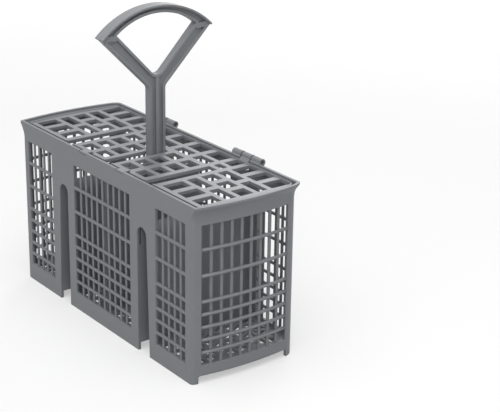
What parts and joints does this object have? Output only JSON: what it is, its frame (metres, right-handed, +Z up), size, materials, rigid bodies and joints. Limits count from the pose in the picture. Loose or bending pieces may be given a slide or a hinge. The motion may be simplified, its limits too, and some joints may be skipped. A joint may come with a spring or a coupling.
{
  "type": "dishwasher cutlery basket",
  "caption": "Oblong plastic cutlery basket for a dishwasher rack: grid walls, rack notches, a hinged grid lid and an upright wishbone handle.",
  "frame": {"origin": "on the surface that the basket stands on, under the middle of the tub", "axes": "+X along the basket's length, +Y towards the hinged side, +Z up along the handle"},
  "size_m": [0.2388, 0.092, 0.2318],
  "materials": {
    "grey_plastic": "satin moulded polypropylene"
  },
  "bodies": {
    "root": {"basket": "grey_plastic", "handle": "grey_plastic"},
    "lid": {"lid": "grey_plastic"}
  },
  "joints": [
    {"name": "lid_hinge", "type": "hinge", "parent": "root", "child": "lid", "pos_m": [0, 0.0453, 0.1277], "axis": [-1, 0, 0], "range_deg": [0, 80]}
  ]
}
